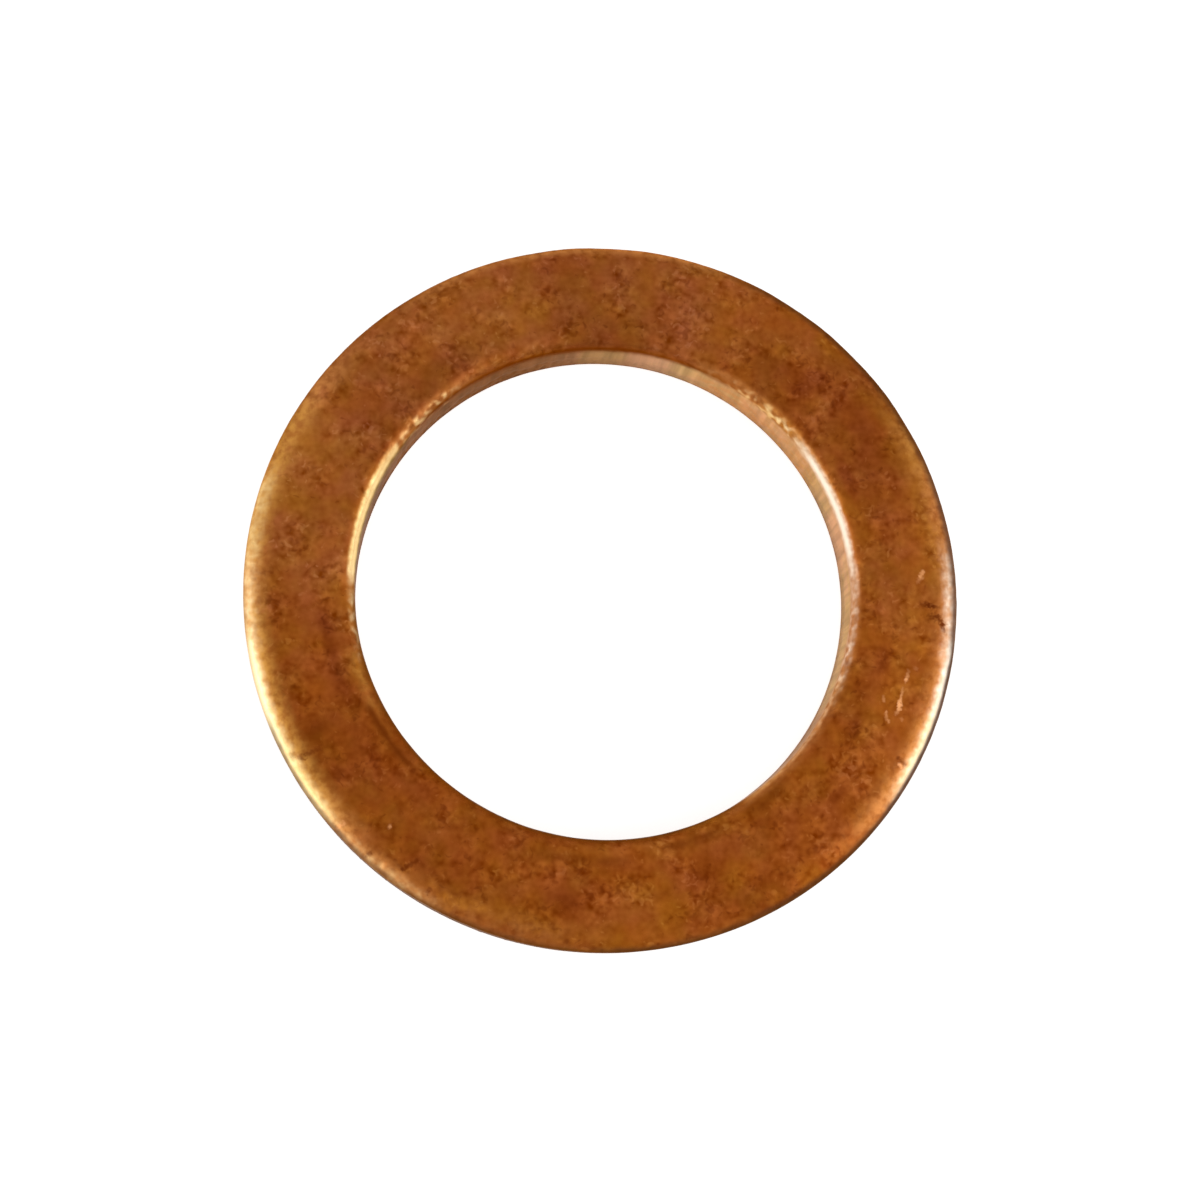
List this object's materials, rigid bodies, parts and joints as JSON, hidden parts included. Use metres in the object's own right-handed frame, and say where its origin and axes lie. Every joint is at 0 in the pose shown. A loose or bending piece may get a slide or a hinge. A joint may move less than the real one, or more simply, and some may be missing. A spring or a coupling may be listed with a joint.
{
  "type": "fuel injector gasket",
  "caption": "Flat solid copper sealing ring with rounded edges, for seating under the nose of a fuel injector.",
  "frame": {"origin": "centre of the underside, on the axis of the bore", "axes": "+Z along the axis of the bore, out of the upper face, whose edges are the drawn-down ones; X and Y are equivalent"},
  "size_m": [0.02, 0.02, 0.002],
  "materials": {
    "copper": "solid copper, tumbled and dulled to a mottled brown, with rubbed bright edges"
  },
  "bodies": {
    "root": {"sealing_ring": "copper"}
  },
  "joints": []
}
